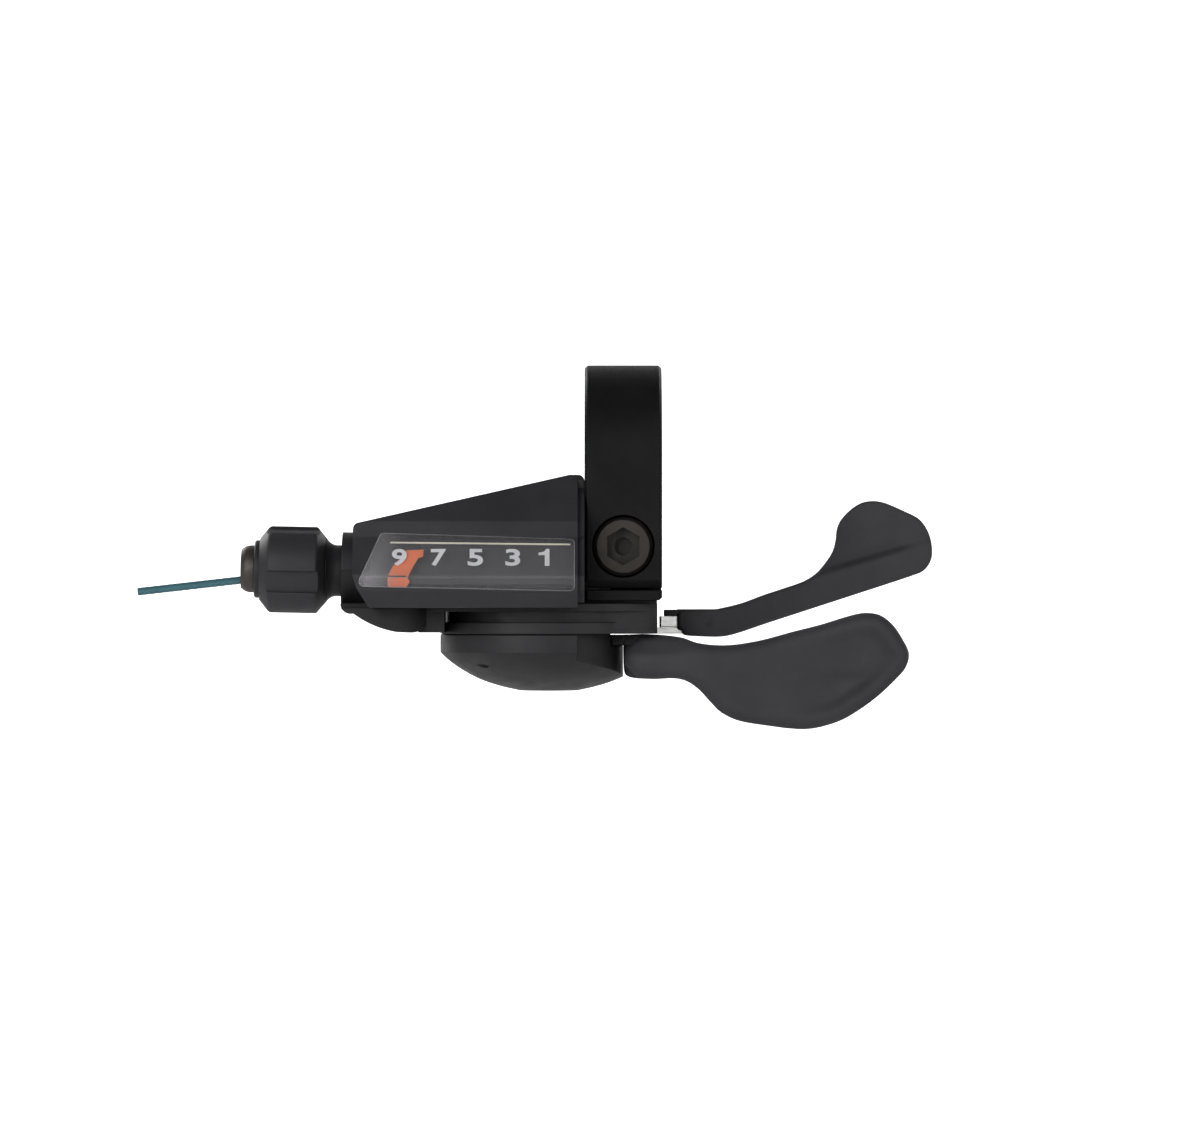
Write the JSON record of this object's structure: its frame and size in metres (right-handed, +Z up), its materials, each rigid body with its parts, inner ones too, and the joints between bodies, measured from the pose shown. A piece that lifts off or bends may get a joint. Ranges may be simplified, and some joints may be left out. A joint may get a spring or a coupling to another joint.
{
  "type": "bicycle trigger shifter",
  "caption": "Handlebar thumb shifter with a clamp band, gear display with needle, winding and release levers, ratchet spool and a cable adjuster.",
  "frame": {"origin": "centre of the handlebar clamp bore, at the middle of the band's width", "axes": "+X along the handlebar towards the levers, +Y away from the rider, +Z up"},
  "size_m": [0.1225, 0.046, 0.0558],
  "materials": {
    "band_metal": "black anodised, fine satin",
    "bolt_steel": "dark zinc plated",
    "bright_steel": "bright zinc plated",
    "body_plastic": "charcoal moulded, fine grain",
    "window_clear": "clear smoked cap, polished",
    "dial_black": "black printed plate",
    "print_grey": "light grey print",
    "print_cream": "cream print",
    "needle_orange": "orange moulded",
    "spool_plastic": "natural acetal",
    "spring_steel": "spring wire",
    "cable_teal": "coated stranded wire",
    "barrel_metal": "brown-grey plated"
  },
  "bodies": {
    "body": {"clamp_band": "band_metal", "clamp_bolt": "bolt_steel", "foot_screws": "bolt_steel", "bracket": "body_plastic", "display_housing": "body_plastic", "display_window": "window_clear", "housing_screws": "bolt_steel", "dial_plate": "dial_black", "dial_numerals": "print_grey", "dial_line": "print_cream", "axle": "bright_steel", "hub_washer": "bright_steel", "axle_nut": "bright_steel", "hold_pawl_pin": "bright_steel", "hold_pawl_spring": "spring_steel", "main_spring": "spring_steel", "release_spring": "spring_steel", "bottom_cover": "body_plastic", "cover_screw": "bolt_steel", "cable_run": "cable_teal", "indicator_wire": "spring_steel"},
    "spool_unit": {"spool": "spool_plastic", "cable_head": "cable_teal", "hold_ratchet": "bright_steel", "wind_ratchet": "bright_steel"},
    "needle": {"indicator_needle": "needle_orange"},
    "cable": {"cable_tail": "cable_teal"},
    "main_lever": {"main_lever_plate": "bolt_steel", "main_lever_pad": "body_plastic", "wind_pawl_pin": "bright_steel", "wind_pawl_spring": "spring_steel"},
    "winding_pawl": {"wind_pawl": "bright_steel"},
    "holding_pawl": {"hold_pawl": "bright_steel"},
    "release_lever_unit": {"release_plate": "bright_steel", "release_lever": "body_plastic"},
    "adjuster_carrier": {"adjuster_ring": "body_plastic"},
    "adjuster": {"adjuster_knob": "body_plastic", "adjuster_barrel": "barrel_metal"}
  },
  "joints": [
    {"name": "spool_turn", "type": "hinge", "parent": "body", "child": "spool_unit", "pos_m": [-0.0114, 0, -0.02], "axis": [0, 0, 1], "range_deg": [0, 143.24]},
    {"name": "needle_slide", "type": "slide", "parent": "body", "child": "needle", "axis": [1, 0, 0], "range_m": [0, 0.0225], "deforming": ["indicator_wire"]},
    {"name": "cable_pull", "type": "slide", "parent": "body", "child": "cable", "axis": [0.9936, 0, 0.1132], "range_m": [0, 0.02], "deforming": ["cable_run"]},
    {"name": "main_lever_push", "type": "hinge", "parent": "body", "child": "main_lever", "pos_m": [-0.0114, 0, -0.0285], "axis": [0, 0, 1], "range_deg": [0, 53.71], "stiffness_Nm_per_rad": 0.02, "deforming": ["main_spring"]},
    {"name": "winding_pawl_engage", "type": "hinge", "parent": "main_lever", "child": "winding_pawl", "pos_m": [-0.01985, 0.00711, -0.03], "axis": [0, 0, 1], "range_deg": [0, 8], "deforming": ["wind_pawl_spring"]},
    {"name": "holding_pawl_engage", "type": "hinge", "parent": "body", "child": "holding_pawl", "pos_m": [-0.02458, 0.00232, -0.0252], "axis": [0, 0, 1], "range_deg": [0, 8], "deforming": ["hold_pawl_spring"]},
    {"name": "release_lever_push", "type": "hinge", "parent": "body", "child": "release_lever_unit", "pos_m": [-0.0114, 0, -0.027], "axis": [0, 0, 1], "range_deg": [-6, 8], "stiffness_Nm_per_rad": 0.02, "deforming": ["release_spring"]},
    {"name": "adjuster_advance", "type": "slide", "parent": "body", "child": "adjuster_carrier", "axis": [-0.9998, 0, 0.0209], "range_m": [0, 0.0024]},
    {"name": "adjuster_turn", "type": "hinge", "parent": "adjuster_carrier", "child": "adjuster", "pos_m": [-0.0429, -0.008, -0.0177], "axis": [-0.9998, 0, 0.0209], "range_deg": [0, 1080.01]}
  ],
  "couplings": [
    {"joint": "needle_slide", "follows": "spool_turn", "m_per_rad": 0.009},
    {"joint": "cable_pull", "follows": "spool_turn", "m_per_rad": 0.008},
    {"joint": "adjuster_turn", "follows": "adjuster_advance", "rad_per_m": 7854}
  ]
}
